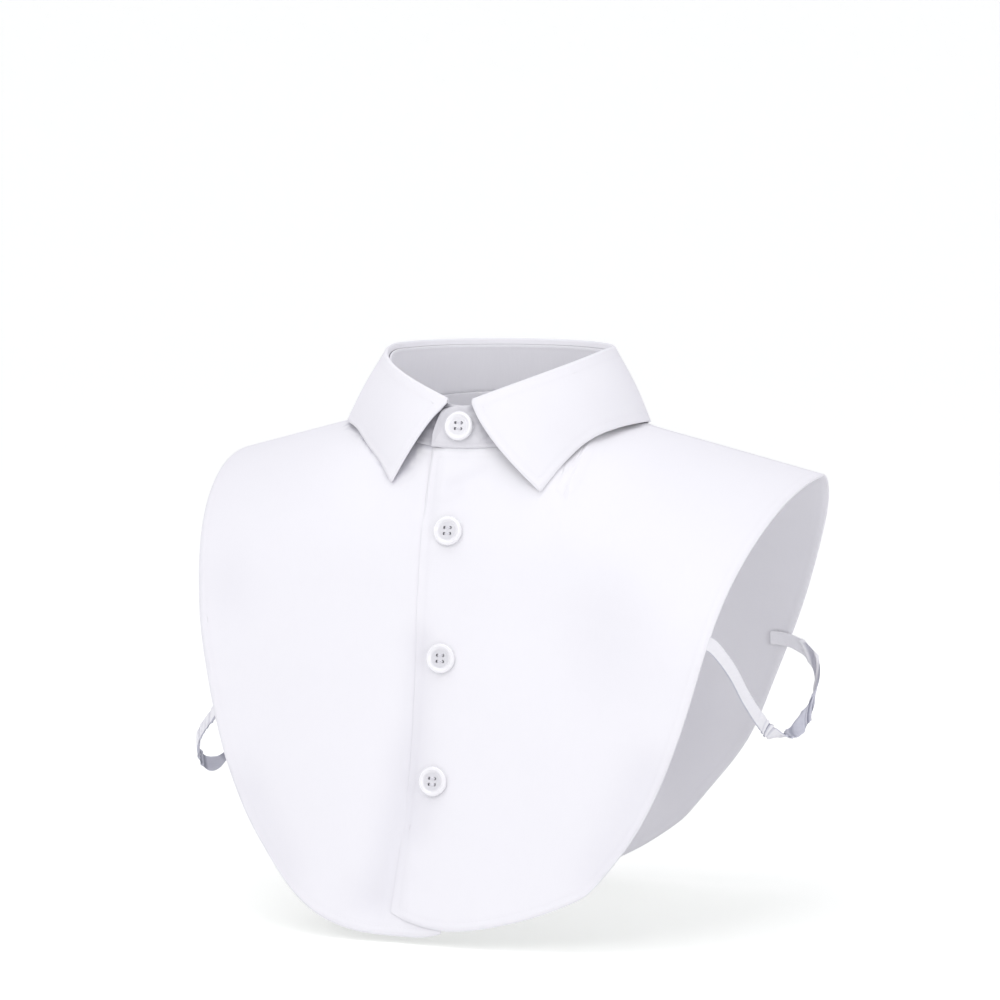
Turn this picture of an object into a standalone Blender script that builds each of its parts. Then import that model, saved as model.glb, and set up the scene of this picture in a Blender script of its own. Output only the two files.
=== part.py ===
"""Detachable shirt collar: a buttoned collar on a bib front and a bib back.

Metres, +Z up. The wearer faces -Y and the wearer's left is +X. The origin is the middle of
the neck, level with the seam that joins the collar stand to the back panel.
"""
import math

import bmesh
import bpy
from mathutils import Matrix, Vector

# Cloth and seams
CLOTH = 0.0012
STAND_WALL = 0.0014
SEAM_GAP = 0.0003
LAY_GAP = 0.0005

# Neck seam, an oval that is lowest at the front
NECK_HALF_WIDTH = 0.066
NECK_HALF_DEPTH = 0.067
SEAM_FRONT_Z = -0.0210
SEAM_SIDE_Z = -0.0065
SEAM_BACK_Z = 0.0

# Shoulder line, from the neck seam to the tip; the wearer's left shoulder is the lower one
SHOULDER_NECK_Y = 0.003
SHOULDER_TIP_X = 0.173
SHOULDER_TIP_Y = 0.050
SHOULDER_TIP_Z = -0.0375
SHOULDER_TILT = 0.0025

# Hang of each panel, set by where it passes one level of the chest and by its slopes
CHEST_Z = -0.134
CHEST_HALF_WIDTH = 0.143
FRONT_HANG = {"side": -1, "middle_y": -0.0935, "edge_y": -0.0860, "fall": 81.5, "neck_fall": 66.0,
              "shoulder_fall": 0.0, "bend_y": -0.0020}
BACK_HANG = {"side": 1, "middle_y": 0.1000, "edge_y": 0.0830, "fall": 88.0, "neck_fall": 48.0,
             "shoulder_fall": 9.0, "bend_y": 0.0300}
NECK_FALL_POWER = 1.4
PROBE = 0.002
HALVINGS = 30

# Half width of each panel, by its share of the way down from the shoulder to the hem
FRONT_CUT = [
    {"share": 0.00, "half_width": 0.1730},
    {"share": 0.12, "half_width": 0.1705},
    {"share": 0.27, "half_width": 0.1638},
    {"share": 0.43, "half_width": 0.1536},
    {"share": 0.61, "half_width": 0.1417},
    {"share": 0.75, "half_width": 0.1301},
    {"share": 0.89, "half_width": 0.1124},
    {"share": 1.00, "half_width": 0.0888},
]
BACK_CUT = [
    {"share": 0.00, "half_width": 0.1730},
    {"share": 0.14, "half_width": 0.1693},
    {"share": 0.32, "half_width": 0.1605},
    {"share": 0.47, "half_width": 0.1507},
    {"share": 0.65, "half_width": 0.1349},
    {"share": 0.83, "half_width": 0.1153},
    {"share": 1.00, "half_width": 0.0789},
]
UNDER_HEM = {"middle_z": -0.2810, "corner_rise": 0.0280, "power": 3.2}
OVER_HEM = {"middle_z": -0.2775, "corner_rise": 0.0245, "power": 2.1}
BACK_HEM = {"middle_z": -0.2830, "corner_rise": 0.0380, "power": 1.7}

# Buttoned front: the wearer's left panel lies over the right one
OVERLAP = 0.015
FRONT_DRIFT = -0.0075
DRIFT_START = 0.50
OVER_CORNER_LIFT = 0.008
OVER_CORNER_REACH = 0.045
UNDER_CORNER_LIFT = 0.003
LAYER_FADE_START = 0.018
LAYER_FADE_END = 0.055
LAYER_DIP = 0.0008

# Soft vertical valley that runs from the third button down to the hem
VALLEY_DEPTH = 0.0022
VALLEY_HALF_WIDTH = 0.020
VALLEY_X = -0.016
VALLEY_TOP_Z = -0.115
VALLEY_FULL_Z = -0.200

# Rows and columns of the panel grids
FRONT_ROWS = 22
BACK_ROWS = 18
NECK_COLUMNS = 9
SHOULDER_COLUMNS = 7
LAP_COLUMNS = 2

# Collar stand, one long band whose ends lap at the front
STAND_TOP_RADIUS = 0.0608
STAND_RAISE = 0.00035
STAND_LAP = 12.8
STAND_END_COLUMNS = 3
STAND_END_ROUND = 10.5
STAND_END_SHARE = 0.28
STAND_LAP_FADE = 60.0
STAND_ROWS = 5

# Collar fall: crest ring, roll over the stand, and the lie of its edge on the panels
CREST_RADIUS = 0.0625
CREST_BACK_Z = 0.0305
CREST_DROP = 0.0275
CREST_POWER = 1.5
ROLL_RADIUS = 0.0024
ROLL_FOOT = 0.0010
LEAF_BULGE_OUT = 0.0012
LEAF_BULGE_UP = 0.0005
LEAF_CLEARANCE = 0.0006
LEAF_EDGE = [
    {"share": 0.00, "left_angle": 35.0, "left_reach": 0.0850, "right_angle": 27.5, "right_reach": 0.0795},
    {"share": 0.14, "left_angle": 50.0, "left_reach": 0.0790, "right_angle": 42.0, "right_reach": 0.0765},
    {"share": 0.32, "left_angle": 74.0, "left_reach": 0.0785, "right_angle": 66.0, "right_reach": 0.0800},
    {"share": 0.50, "left_angle": 96.0, "left_reach": 0.0825, "right_angle": 92.0, "right_reach": 0.0895},
    {"share": 0.72, "left_angle": 132.0, "left_reach": 0.0840, "right_angle": 132.0, "right_reach": 0.0860},
    {"share": 1.00, "left_angle": 180.0, "left_reach": 0.0800, "right_angle": 180.0, "right_reach": 0.0800},
]
LEFT_LEAF_SPREAD = 1.15
RIGHT_LEAF_SPREAD = 0.75
ROLL_ROWS = 5
FALL_ROWS = 6

# Buttons, four on the centre front
BUTTON_RADIUS = 0.0080
BUTTON_THICKNESS = 0.0028
BUTTON_SIDES = 24
BUTTON_HOLES = 4
BUTTON_HOLE_RADIUS = 0.0009
BUTTON_HOLE_REACH = 0.0023
BUTTON_HOLE_SIDES = 8
BUTTON_SHIFT = 0.001
STAND_BUTTON_HEIGHT = 0.50
FRONT_BUTTON_Z = (-0.0645, -0.1320, -0.1975)

# Button section, as shares of its radius and thickness, from the middle of its back round the rim
BUTTON_PROFILE = [
    {"radius": 0.00, "height": 0.00},
    {"radius": 0.86, "height": 0.00},
    {"radius": 1.00, "height": 0.25},
    {"radius": 1.00, "height": 0.70},
    {"radius": 0.93, "height": 0.97},
    {"radius": 0.81, "height": 1.00},
    {"radius": 0.66, "height": 0.71},
    {"radius": 0.00, "height": 0.71},
]

# Elastic side straps, each sewn inside the front edge and inside the back edge
STRAP_WIDTH = 0.0075
STRAP_THICKNESS = 0.0011
STRAP_TAB = 0.012
STRAP_GAP = 0.0011
STRAP_STATIONS = 32
STRAP_TWIST_START = 0.45
STRAP_TWIST_END = 0.90
LEFT_STRAP = {
    "front_z": -0.1170,
    "back_z": -0.1370,
    "half_turns": 1,
    "route": [
        {"x": 0.1500, "y": -0.052, "z": -0.136},
        {"x": 0.1505, "y": -0.024, "z": -0.156},
        {"x": 0.1510, "y": 0.006, "z": -0.174},
        {"x": 0.1510, "y": 0.028, "z": -0.1835},
        {"x": 0.1555, "y": 0.045, "z": -0.1860},
        {"x": 0.1605, "y": 0.058, "z": -0.178},
        {"x": 0.1635, "y": 0.066, "z": -0.165},
        {"x": 0.1635, "y": 0.071, "z": -0.152},
        {"x": 0.1580, "y": 0.074, "z": -0.143},
    ],
}
RIGHT_STRAP = {
    "front_z": -0.1170,
    "back_z": -0.1370,
    "half_turns": 1,
    "route": [
        {"x": -0.1500, "y": -0.062, "z": -0.133},
        {"x": -0.1520, "y": -0.044, "z": -0.155},
        {"x": -0.1600, "y": -0.028, "z": -0.176},
        {"x": -0.1770, "y": -0.014, "z": -0.194},
        {"x": -0.1840, "y": 0.000, "z": -0.208},
        {"x": -0.1830, "y": 0.014, "z": -0.2175},
        {"x": -0.1775, "y": 0.032, "z": -0.2110},
        {"x": -0.1690, "y": 0.052, "z": -0.188},
        {"x": -0.1590, "y": 0.068, "z": -0.163},
    ],
}

# Finishes: colour, roughness and metallic value
COTTON = {"colour": (0.90, 0.90, 0.93), "roughness": 0.85, "metallic": 0.0}
COLLAR_COTTON = {"colour": (0.91, 0.91, 0.94), "roughness": 0.80, "metallic": 0.0}
ELASTIC = {"colour": (0.88, 0.88, 0.90), "roughness": 0.75, "metallic": 0.0}
BUTTON_RESIN = {"colour": (0.93, 0.93, 0.94), "roughness": 0.25, "metallic": 0.0}


def clear_scene():
    """Remove whatever the file starts with."""
    for thing in list(bpy.data.objects):
        bpy.data.objects.remove(thing, do_unlink=True)


def ease(value):
    """Smooth step from 0 to 1, flat at both ends."""
    value = min(1.0, max(0.0, value))
    return value * value * (3.0 - 2.0 * value)


def read_rows(rows, key, column, at):
    """Smooth curve through one column of a table, read at a value of its key column."""
    keys = [row[key] for row in rows]
    values = [row[column] for row in rows]
    slopes = []
    for i in range(len(keys)):
        low, high = max(0, i - 1), min(len(keys) - 1, i + 1)
        slopes.append((values[high] - values[low]) / (keys[high] - keys[low]))
    last = len(keys) - 2
    i = next((n for n in range(last + 1) if at <= keys[n + 1]), last)
    step = keys[i + 1] - keys[i]
    t = (at - keys[i]) / step
    near = values[i] * (1 + 2 * t) * (1 - t) ** 2 + slopes[i] * step * t * (1 - t) ** 2
    far = values[i + 1] * t * t * (3 - 2 * t) + slopes[i + 1] * step * t * t * (t - 1)
    return near + far


def seam_height(angle):
    """Height of the neck seam at an angle from the centre front."""
    middle = (SEAM_FRONT_Z + SEAM_BACK_Z) / 2
    swing = (SEAM_FRONT_Z - SEAM_BACK_Z) / 2
    level = (middle + SEAM_SIDE_Z) / 2
    saddle = (middle - SEAM_SIDE_Z) / 2
    return level + swing * math.cos(angle) + saddle * math.cos(2 * angle)


def column_start(x, side):
    """Depth and height where a panel's column starts, and how much it faces along the neck."""
    reach = abs(x)
    if reach < NECK_HALF_WIDTH:
        angle = math.asin(reach / NECK_HALF_WIDTH)
        facing = math.cos(angle)
        y = side * NECK_HALF_DEPTH * facing + SHOULDER_NECK_Y * (1 - facing)
        return y, seam_height(angle if side < 0 else math.pi - angle), facing
    share = (reach - NECK_HALF_WIDTH) / (SHOULDER_TIP_X - NECK_HALF_WIDTH)
    y = SHOULDER_NECK_Y + (SHOULDER_TIP_Y - SHOULDER_NECK_Y) * share
    z = SEAM_SIDE_Z + (SHOULDER_TIP_Z - SEAM_SIDE_Z) * share
    return y, z - math.copysign(SHOULDER_TILT, x) * share, 0.0


class Column:
    """One upright strip of a panel: a short flat run, an arc, then a straight fall."""

    def __init__(self, x, hang):
        self.x = x
        self.side = hang["side"]
        self.y, self.z, facing = column_start(x, self.side)
        fall = hang["neck_fall"] - hang["shoulder_fall"]
        self.first = math.radians(hang["shoulder_fall"] + fall * facing ** NECK_FALL_POWER)
        self.last = math.radians(hang["fall"])
        along = max(0.0, (abs(x) - NECK_HALF_WIDTH) / (SHOULDER_TIP_X - NECK_HALF_WIDTH))
        bend_y = hang["bend_y"] + (SHOULDER_TIP_Y - hang["bend_y"]) * along
        self.run = max(0.0, (bend_y - self.y) * self.side) / math.cos(self.first)
        self.run_out = self.run * math.cos(self.first)
        self.run_drop = self.run * math.sin(self.first)
        chest_y = hang["middle_y"] + (hang["edge_y"] - hang["middle_y"]) * (x / CHEST_HALF_WIDTH) ** 2
        out = (chest_y - self.y) * self.side - self.run_out
        drop = self.z - self.run_drop - CHEST_Z
        slope = 1 / math.tan(self.last)
        arc_out = math.sin(self.last) - math.sin(self.first)
        arc_drop = math.cos(self.first) - math.cos(self.last)
        self.radius = (out - drop * slope) / (arc_out - arc_drop * slope)
        self.arc_out = self.radius * arc_out
        self.arc_drop = self.radius * arc_drop

    def at(self, length):
        """Point at a length of cloth down from the start."""
        run = min(length, self.run)
        angle = min(self.first + (length - run) / self.radius, self.last)
        straight = max(0.0, length - self.run - self.radius * (self.last - self.first))
        out = run * math.cos(self.first) + straight * math.cos(self.last)
        out += self.radius * (math.sin(angle) - math.sin(self.first))
        drop = run * math.sin(self.first) + straight * math.sin(self.last)
        drop += self.radius * (math.cos(self.first) - math.cos(angle))
        return Vector((self.x, self.y + self.side * out, self.z - drop))

    def length_to(self, z):
        """Length of cloth from the start down to a height past the flat run."""
        drop = max(0.0, self.z - self.run_drop - z)
        if drop > self.arc_drop:
            arc = self.radius * (self.last - self.first)
            return self.run + arc + (drop - self.arc_drop) / math.sin(self.last)
        return self.run + self.radius * (math.acos(math.cos(self.first) - drop / self.radius) - self.first)

    def height_at(self, y):
        """Height of the cloth where it passes a depth."""
        out = (y - self.y) * self.side
        if out < self.run_out:
            return self.z - out * math.tan(self.first)
        out -= self.run_out
        bend_z = self.z - self.run_drop
        if out > self.arc_out:
            return bend_z - self.arc_drop - (out - self.arc_out) * math.tan(self.last)
        angle = math.asin(math.sin(self.first) + out / self.radius)
        return bend_z - self.radius * (math.cos(self.first) - math.cos(angle))

    def down_at(self, z):
        """Way down the cloth at a height."""
        length = self.length_to(z)
        return (self.at(length + PROBE) - self.at(max(0.0, length - PROBE))).normalized()

    def seam_room(self, hem_z, rows):
        """Length left free at the shoulder seam, so that the two walls clear each other there."""
        if abs(self.x) < NECK_HALF_WIDTH:
            return 0.0
        half_bend = self.length_to(hem_z) / rows / (2 * self.radius)
        return SEAM_GAP / 2 + CLOTH * math.tan(self.first + half_bend)


def cloth_height(x, y):
    """Height of the panels' outer side above a point of the plan."""
    hang = FRONT_HANG if y < column_start(x, FRONT_HANG["side"])[0] else BACK_HANG
    return Column(x, hang).height_at(y)


def valley(x, z):
    """Depth of the soft valley beside the buttons."""
    fade = ease((VALLEY_TOP_Z - z) / (VALLEY_TOP_Z - VALLEY_FULL_Z))
    across = (x - VALLEY_X) / VALLEY_HALF_WIDTH
    return VALLEY_DEPTH * fade * math.exp(-across * across)


def front_drift(share):
    """Sideways drift of the centre front towards the hem."""
    down = max(0.0, (share - DRIFT_START) / (1 - DRIFT_START))
    return FRONT_DRIFT * down * down


def lap_places():
    """Distances from the centre front of the columns in one half of the lap."""
    return [OVERLAP * i / LAP_COLUMNS for i in range(1, LAP_COLUMNS + 1)]


def neck_angles():
    """Angles from the centre of the columns that a quarter of the neck seam has, past the lap."""
    lap_angle = math.asin(OVERLAP / NECK_HALF_WIDTH)
    return [lap_angle + (math.pi / 2 - lap_angle) * i / NECK_COLUMNS for i in range(1, NECK_COLUMNS + 1)]


def neck_turns():
    """Angles in degrees, from centre front to centre back, of the columns of the collar."""
    quarter = [math.degrees(math.asin(place / NECK_HALF_WIDTH)) for place in lap_places()]
    quarter += [math.degrees(angle) for angle in neck_angles()]
    return quarter + [180.0 - turn for turn in reversed(quarter[:-1])] + [180.0]


def leaf_turns():
    """Angles of the columns of the fall, once round from one front end to the other."""
    half = neck_turns()
    return half + [360.0 - turn for turn in reversed(half[:-1])]


def stand_turns():
    """Angles of the columns of the stand, with those of its two lapped ends."""
    around = leaf_turns()
    start = around[0]
    lap = [start + (STAND_LAP - start) * i / STAND_END_COLUMNS for i in range(STAND_END_COLUMNS + 1)]
    first = [-turn for turn in reversed(lap)] + [0.0]
    return first + around + [360.0 - turn for turn in reversed(first)]


def spread_columns():
    """Places of a half panel's columns at its top edge: round the neck, then along the shoulder."""
    places = [NECK_HALF_WIDTH * math.sin(angle) for angle in neck_angles()]
    for i in range(1, SHOULDER_COLUMNS + 1):
        places.append(NECK_HALF_WIDTH + (SHOULDER_TIP_X - NECK_HALF_WIDTH) * i / SHOULDER_COLUMNS)
    return [(place - OVERLAP) / (SHOULDER_TIP_X - OVERLAP) for place in places]


def layer_share(x):
    """How far a point of the over layer stands off the under layer, from 1 down to 0."""
    return 1 - ease((x - LAYER_FADE_START) / (LAYER_FADE_END - LAYER_FADE_START))


def front_point(column_share, lap_place, share, layer):
    """Point of the front; column_share counts from the lap to the side edge, with its sign.

    Inside the lap column_share is 0 and lap_place is the distance from the centre front.
    The layer is 0 for the under panel and 1 for the over panel.
    """
    half_width = read_rows(FRONT_CUT, "share", "half_width", share)
    drift = front_drift(share) * (1 - abs(column_share))
    offset = lap_place
    if column_share:
        offset = math.copysign(OVERLAP + (half_width - OVERLAP) * abs(column_share), column_share)
    x = offset + drift
    hem = OVER_HEM if layer else UNDER_HEM
    hem_z = hem["middle_z"] + hem["corner_rise"] * abs(offset / half_width) ** hem["power"]
    if layer:
        near_edge = 1 - min(1.0, (offset + OVERLAP) / OVER_CORNER_REACH)
        hem_z += OVER_CORNER_LIFT * near_edge * near_edge
    else:
        hem_z += UNDER_CORNER_LIFT * min(1.0, max(0.0, offset / OVERLAP)) ** 2
    column = Column(x, FRONT_HANG)
    start = LAYER_DIP * layer_share(x) * layer + column.seam_room(hem_z, FRONT_ROWS)
    point = column.at(start + (column.length_to(hem_z) - start) * share)
    point.y += valley(x, point.z)
    return point


def back_point(place, share):
    """Point of the back panel; place runs from -1 to 1 across it."""
    half_width = read_rows(BACK_CUT, "share", "half_width", share)
    x = place * half_width
    hem_z = BACK_HEM["middle_z"] + BACK_HEM["corner_rise"] * abs(place) ** BACK_HEM["power"]
    column = Column(x, BACK_HANG)
    start = column.seam_room(hem_z, BACK_ROWS)
    return column.at(start + (column.length_to(hem_z) - start) * share)


def stand_layer(turn):
    """Share of the outward step that the over end of the stand takes, by its own angle."""
    return 1 - ease((turn - STAND_LAP) / (STAND_LAP_FADE - STAND_LAP))


def crest_height(turn):
    """Height of the collar's fold line at an angle in degrees from the centre front."""
    away = abs((turn + 180.0) % 360.0 - 180.0)
    if away >= 90.0:
        return CREST_BACK_Z
    return CREST_BACK_Z - CREST_DROP * (1 - away / 90.0) ** CREST_POWER


def stand_top(turn):
    """Height of the stand's top edge, rounded down at its two lapped ends."""
    away = abs((turn + 180.0) % 360.0 - 180.0)
    level = crest_height(max(away, leaf_turns()[0])) - ROLL_RADIUS - ROLL_FOOT - SEAM_GAP
    past_end = max(-turn, turn - 360.0) + STAND_END_ROUND - STAND_LAP
    if past_end <= 0:
        return level
    fall = math.sqrt(max(0.0, 1 - (past_end / STAND_END_ROUND) ** 2))
    bottom = seam_height(math.radians(turn))
    return bottom + (level - bottom) * (STAND_END_SHARE + (1 - STAND_END_SHARE) * fall)


def stand_point(turn, rise):
    """Point on the outer side of the stand, at a share of the way up."""
    angle = math.radians(turn)
    step = (STAND_WALL + LAY_GAP) * stand_layer(turn) + STAND_WALL / 2
    low_z = seam_height(angle) + SEAM_GAP + STAND_RAISE
    high_z = stand_top(turn)
    away = abs((turn + 180.0) % 360.0 - 180.0)
    full_rise = crest_height(max(leaf_turns()[0], away))
    z = low_z + (high_z - low_z) * rise
    lean = (z - low_z) / (full_rise - ROLL_RADIUS - ROLL_FOOT - SEAM_GAP - low_z)
    wide = NECK_HALF_WIDTH + (STAND_TOP_RADIUS - NECK_HALF_WIDTH) * lean + step
    deep = NECK_HALF_DEPTH + (STAND_TOP_RADIUS - NECK_HALF_DEPTH) * lean + step
    return Vector((wide * math.sin(angle), -deep * math.cos(angle), z))


def leaf_edge(turn):
    """Point of the outer edge of the fall, just off the panels."""
    away = min(turn, 360.0 - turn)
    first = leaf_turns()[0]
    share = (away - first) / (180.0 - first)
    hand = "left" if turn <= 180.0 else "right"
    angle = math.radians(read_rows(LEAF_EDGE, "share", hand + "_angle", share))
    reach = read_rows(LEAF_EDGE, "share", hand + "_reach", share)
    x = reach * math.sin(angle) * (1 if turn <= 180.0 else -1)
    y = -reach * math.cos(angle)
    slope_x = (cloth_height(x + PROBE, y) - cloth_height(x - PROBE, y)) / (2 * PROBE)
    slope_y = (cloth_height(x, y + PROBE) - cloth_height(x, y - PROBE)) / (2 * PROBE)
    lift = LEAF_CLEARANCE + CLOTH + (CLOTH + LAY_GAP) * layer_share(x) * (x > -OVERLAP)
    return Vector((x, y, cloth_height(x, y))) + Vector((-slope_x, -slope_y, 1.0)).normalized() * lift


def leaf_point(turn, row):
    """Point on the outer side of the fall: up the roll, over its crest and down to the edge."""
    angle = math.radians(turn)
    step = (STAND_WALL + LAY_GAP) * (stand_layer(turn) if turn < 180 else 0.0)
    middle = CREST_RADIUS + step
    crest = crest_height(turn)
    if row <= ROLL_ROWS:
        bend = math.pi * (row - 1) / (ROLL_ROWS - 1)
        radius = middle - ROLL_RADIUS * math.cos(max(0.0, bend))
        z = crest - ROLL_RADIUS + ROLL_RADIUS * math.sin(max(0.0, bend))
        if row == 0:
            z -= ROLL_FOOT
        return Vector((radius * math.sin(angle), -radius * math.cos(angle), z))
    fall = (row - ROLL_ROWS) / FALL_ROWS
    edge = leaf_edge(turn)
    edge_angle = math.atan2(edge.x, -edge.y) % (2 * math.pi)
    spread = LEFT_LEAF_SPREAD if turn <= 180.0 else RIGHT_LEAF_SPREAD
    now = angle + (edge_angle - angle) * fall ** spread
    top_radius = middle + ROLL_RADIUS
    edge_radius = math.hypot(edge.x, edge.y)
    bulge = math.sin(math.pi * fall)
    radius = top_radius + (edge_radius - top_radius) * fall + LEAF_BULGE_OUT * bulge
    top_z = crest - ROLL_RADIUS
    z = top_z + (edge.z - top_z) * fall + LEAF_BULGE_UP * bulge
    return Vector((radius * math.sin(now), -radius * math.cos(now), z))


def cotton_grid(name, columns, rows, place, wall, finish):
    """Closed cloth panel: a grid laid on a surface, thickened towards the wearer.

    place(i, j) gives the point of the outer side at column i and row j.
    """
    work = bmesh.new()
    bmesh.ops.create_grid(work, x_segments=columns, y_segments=rows, size=0.5)
    for vert in work.verts:
        i = round((vert.co.x + 0.5) * columns)
        j = round((0.5 - vert.co.y) * rows)
        vert.co = place(i, j)
    work.normal_update()
    panel = place_mesh(name, work, Matrix.Identity(4))
    thicken = panel.modifiers.new("wall", "SOLIDIFY")
    thicken.thickness = wall
    thicken.offset = -1.0
    dress(panel, finish)
    return panel


def dress(thing, finish):
    """Give an object its own finish and smooth shading."""
    material = bpy.data.materials.new(thing.name)
    material.use_nodes = True
    shader = material.node_tree.nodes["Principled BSDF"]
    shader.inputs["Base Color"].default_value = (*finish["colour"], 1.0)
    shader.inputs["Roughness"].default_value = finish["roughness"]
    shader.inputs["Metallic"].default_value = finish["metallic"]
    thing.data.materials.clear()
    thing.data.materials.append(material)
    thing.data.shade_smooth()
    thing.data.set_sharp_from_angle(angle=math.radians(40))


def layer_step(point):
    """Step by which the over panel stands off the under panel at a point."""
    down = Column(point.x, FRONT_HANG).down_at(point.z)
    return Vector((0.0, down.z, -down.y)) * (CLOTH + LAY_GAP) * layer_share(point.x)


def make_fronts():
    """The two front panels, one made from the other's points moved out where they lap."""
    columns = spread_columns()
    lap = [-place for place in reversed(lap_places())] + [0.0] + lap_places()

    def under(i, j):
        share = j / FRONT_ROWS
        if i < len(columns):
            return front_point(-columns[len(columns) - 1 - i], 0.0, share, 0)
        return front_point(0.0, lap[i - len(columns)], share, 0)

    def over(i, j):
        share = j / FRONT_ROWS
        if i < len(lap):
            point = front_point(0.0, lap[i], share, 1)
        else:
            point = front_point(columns[i - len(lap)], 0.0, share, 1)
        return point + layer_step(point)

    count = len(columns) + len(lap) - 1
    cotton_grid("front_right", count, FRONT_ROWS, under, CLOTH, COTTON)
    cotton_grid("front_left", count, FRONT_ROWS, over, CLOTH, COTTON)


def make_back():
    """The back panel, one piece from shoulder to shoulder."""
    half = [0.0] + lap_places()
    half += [OVERLAP + (SHOULDER_TIP_X - OVERLAP) * share for share in spread_columns()]
    places = [-place / SHOULDER_TIP_X for place in reversed(half[1:])]
    places += [place / SHOULDER_TIP_X for place in half]
    last = len(places) - 1
    cotton_grid("back_panel", last, BACK_ROWS,
                lambda i, j: back_point(places[last - i], j / BACK_ROWS), CLOTH, COTTON)


def make_stand():
    """The collar stand, once round the neck with its ends lapped at the front."""
    turns = stand_turns()
    cotton_grid("collar_stand", len(turns) - 1, STAND_ROWS,
                lambda i, j: stand_point(turns[i], 1 - j / STAND_ROWS), STAND_WALL, COLLAR_COTTON)


def make_leaf():
    """The fall of the collar, from one point round the neck to the other."""
    turns = leaf_turns()
    cotton_grid("collar_leaf", len(turns) - 1, ROLL_ROWS + FALL_ROWS,
                lambda i, j: leaf_point(turns[i], j), CLOTH, COLLAR_COTTON)


def make_button(name, seat, facing):
    """A dished four-hole button, seated just off the cloth."""
    work = bmesh.new()
    verts = []
    for row in BUTTON_PROFILE:
        verts.append(work.verts.new((BUTTON_RADIUS * row["radius"], 0.0, BUTTON_THICKNESS * row["height"])))
    edges = [work.edges.new(pair) for pair in zip(verts, verts[1:])]
    bmesh.ops.spin(work, geom=verts + edges, axis=(0, 0, 1), cent=(0, 0, 0), dvec=(0, 0, 0),
                   angle=2 * math.pi, steps=BUTTON_SIDES, use_merge=True)
    bmesh.ops.remove_doubles(work, verts=work.verts, dist=1e-6)
    bmesh.ops.recalc_face_normals(work, faces=work.faces)
    button = place_mesh(name, work, facing_matrix(seat, facing))
    drill = make_drill(name + "_holes", button.matrix_world)
    cut = button.modifiers.new("holes", "BOOLEAN")
    cut.operation = "DIFFERENCE"
    cut.solver = "EXACT"
    cut.object = drill
    dress(button, BUTTON_RESIN)


def make_drill(name, matrix):
    """Cutter for the four holes of one button."""
    work = bmesh.new()
    for quarter in range(BUTTON_HOLES):
        angle = 2 * math.pi * (quarter + 0.5) / BUTTON_HOLES
        middle = Vector((math.cos(angle), math.sin(angle), 0)) * BUTTON_HOLE_REACH
        middle.z = BUTTON_THICKNESS / 2
        bmesh.ops.create_cone(work, cap_ends=True, segments=BUTTON_HOLE_SIDES,
                              radius1=BUTTON_HOLE_RADIUS, radius2=BUTTON_HOLE_RADIUS,
                              depth=BUTTON_THICKNESS * 2, matrix=Matrix.Translation(middle))
    drill = place_mesh(name, work, matrix)
    drill.hide_render = True
    drill.display_type = "WIRE"
    return drill


def place_mesh(name, work, matrix):
    """Object made from a finished bmesh, set at a place."""
    mesh = bpy.data.meshes.new(name)
    work.to_mesh(mesh)
    work.free()
    thing = bpy.data.objects.new(name, mesh)
    bpy.context.collection.objects.link(thing)
    thing.matrix_world = matrix
    return thing


def facing_matrix(seat, facing):
    """Place whose +Z is the way the button faces and whose +Y is as upright as can be."""
    z_axis = facing.normalized()
    x_axis = Vector((0, 0, 1)).cross(z_axis).normalized()
    y_axis = z_axis.cross(x_axis)
    return Matrix.Translation(seat) @ Matrix((x_axis, y_axis, z_axis)).transposed().to_4x4()


def make_buttons():
    """One button on the stand and three down the front."""
    turn = math.degrees(BUTTON_SHIFT / NECK_HALF_WIDTH)
    upward = stand_point(turn, 1.0) - stand_point(turn, 0.0)
    facing = Vector((1, 0, 0)).cross(upward).normalized()
    make_button("button_1", stand_point(turn, STAND_BUTTON_HEIGHT) + facing * SEAM_GAP, facing)
    for number, z in enumerate(FRONT_BUTTON_Z, start=2):
        share = share_at(z, lambda s: front_point(0.0, BUTTON_SHIFT, s, 1))
        point = front_point(0.0, BUTTON_SHIFT, share, 1)
        across = front_point(0.0, BUTTON_SHIFT + PROBE, share, 1) - point
        down = Column(point.x, FRONT_HANG).down_at(z)
        facing = down.cross(across).normalized()
        make_button(f"button_{number}", point + layer_step(point) + facing * SEAM_GAP, facing)


def share_at(z, point_at):
    """Share of the way down a panel at which it passes a height."""
    low, high = 0.0, 1.0
    for _ in range(HALVINGS):
        middle = (low + high) / 2
        if point_at(middle).z > z:
            low = middle
        else:
            high = middle
    return (low + high) / 2


def inside_tab(x, z, hang):
    """Middle of a strap's tab on the inner side of a panel, and the way down the panel there."""
    column = Column(x, hang)
    down = column.down_at(z)
    inward = Vector((0.0, hang["side"] * down.z, -hang["side"] * down.y))
    middle = column.at(column.length_to(z)) + inward * (CLOTH + STRAP_GAP + STRAP_THICKNESS / 2)
    return middle, down


def strap_route(strap, hand):
    """Middle line of a strap from the front tab to the back tab, and the panels' way down there."""
    front_share = share_at(strap["front_z"], lambda s: front_point(hand, 0.0, s, 0))
    back_share = share_at(strap["back_z"], lambda s: back_point(hand, s))
    front_x = read_rows(FRONT_CUT, "share", "half_width", front_share)
    back_x = read_rows(BACK_CUT, "share", "half_width", back_share)
    insets = (STRAP_TAB, STRAP_TAB / 2, STRAP_TAB / 10)
    front = [inside_tab(hand * (front_x - inset), strap["front_z"], FRONT_HANG) for inset in insets]
    back = [inside_tab(hand * (back_x - inset), strap["back_z"], BACK_HANG) for inset in reversed(insets)]
    middles = [middle for middle, _ in front]
    middles += [Vector((row["x"], row["y"], row["z"])) for row in strap["route"]]
    middles += [middle for middle, _ in back]
    return middles, front[0][1], back[-1][1]


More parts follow.
